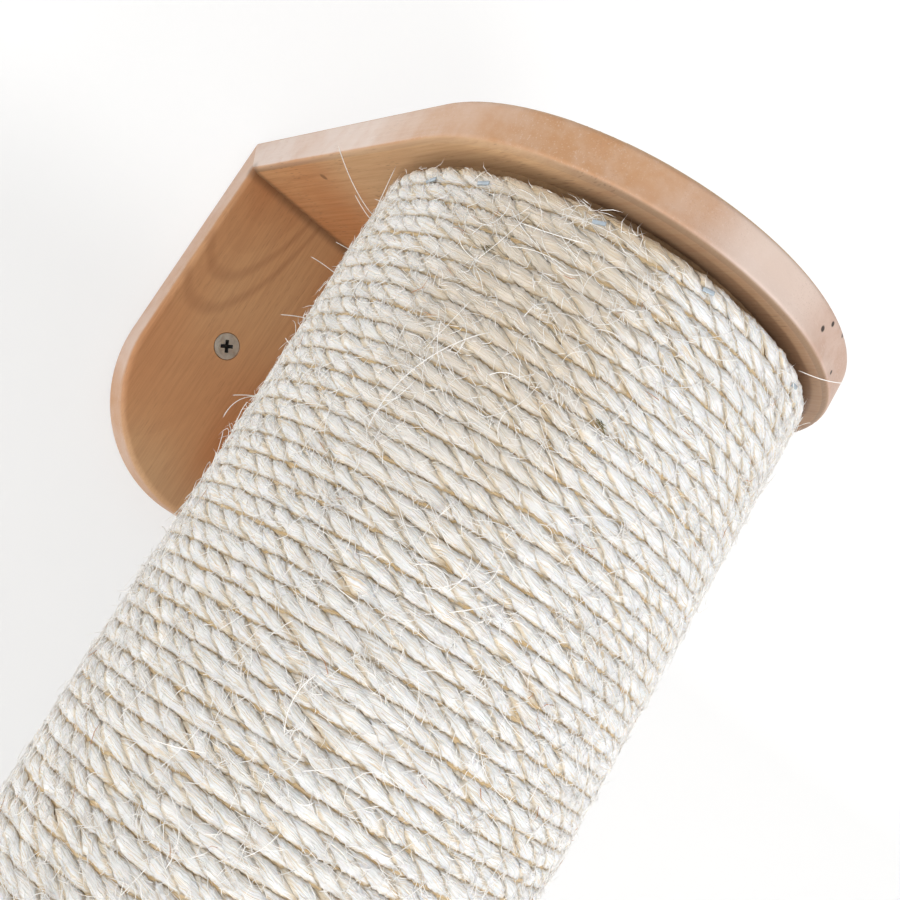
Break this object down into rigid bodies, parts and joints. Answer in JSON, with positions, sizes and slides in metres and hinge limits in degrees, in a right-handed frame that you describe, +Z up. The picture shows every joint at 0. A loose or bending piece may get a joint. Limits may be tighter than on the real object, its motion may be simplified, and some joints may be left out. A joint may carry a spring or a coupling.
{
  "type": "wall-mounted cat climbing post",
  "caption": "Upright rope-wound climbing and scratching post for cats, held off the wall by mitred wooden brackets with rounded ends.",
  "frame": {"origin": "on the wall plane, in the middle of the rectangle of the four wall screws", "axes": "+X to the right as seen from the room, +Y into the wall, +Z up along the post"},
  "size_m": [0.162, 0.2672, 0.6],
  "materials": {
    "board_wood": "satin oiled",
    "pale_wood": "plain",
    "core_cardboard": "matt",
    "sisal_rope": "natural fibre",
    "screw_steel": "zinc plated"
  },
  "bodies": {
    "root": {"upper_end_plate": "board_wood", "lower_end_plate": "board_wood", "upper_wall_plate": "board_wood", "lower_wall_plate": "board_wood", "mitre_biscuits": "pale_wood", "post_tube": "core_cardboard", "upper_tube_plug": "pale_wood", "lower_tube_plug": "pale_wood", "sisal_winding_upper": "sisal_rope", "sisal_winding_lower": "sisal_rope", "post_screws": "screw_steel", "wall_screws": "screw_steel"}
  },
  "joints": []
}
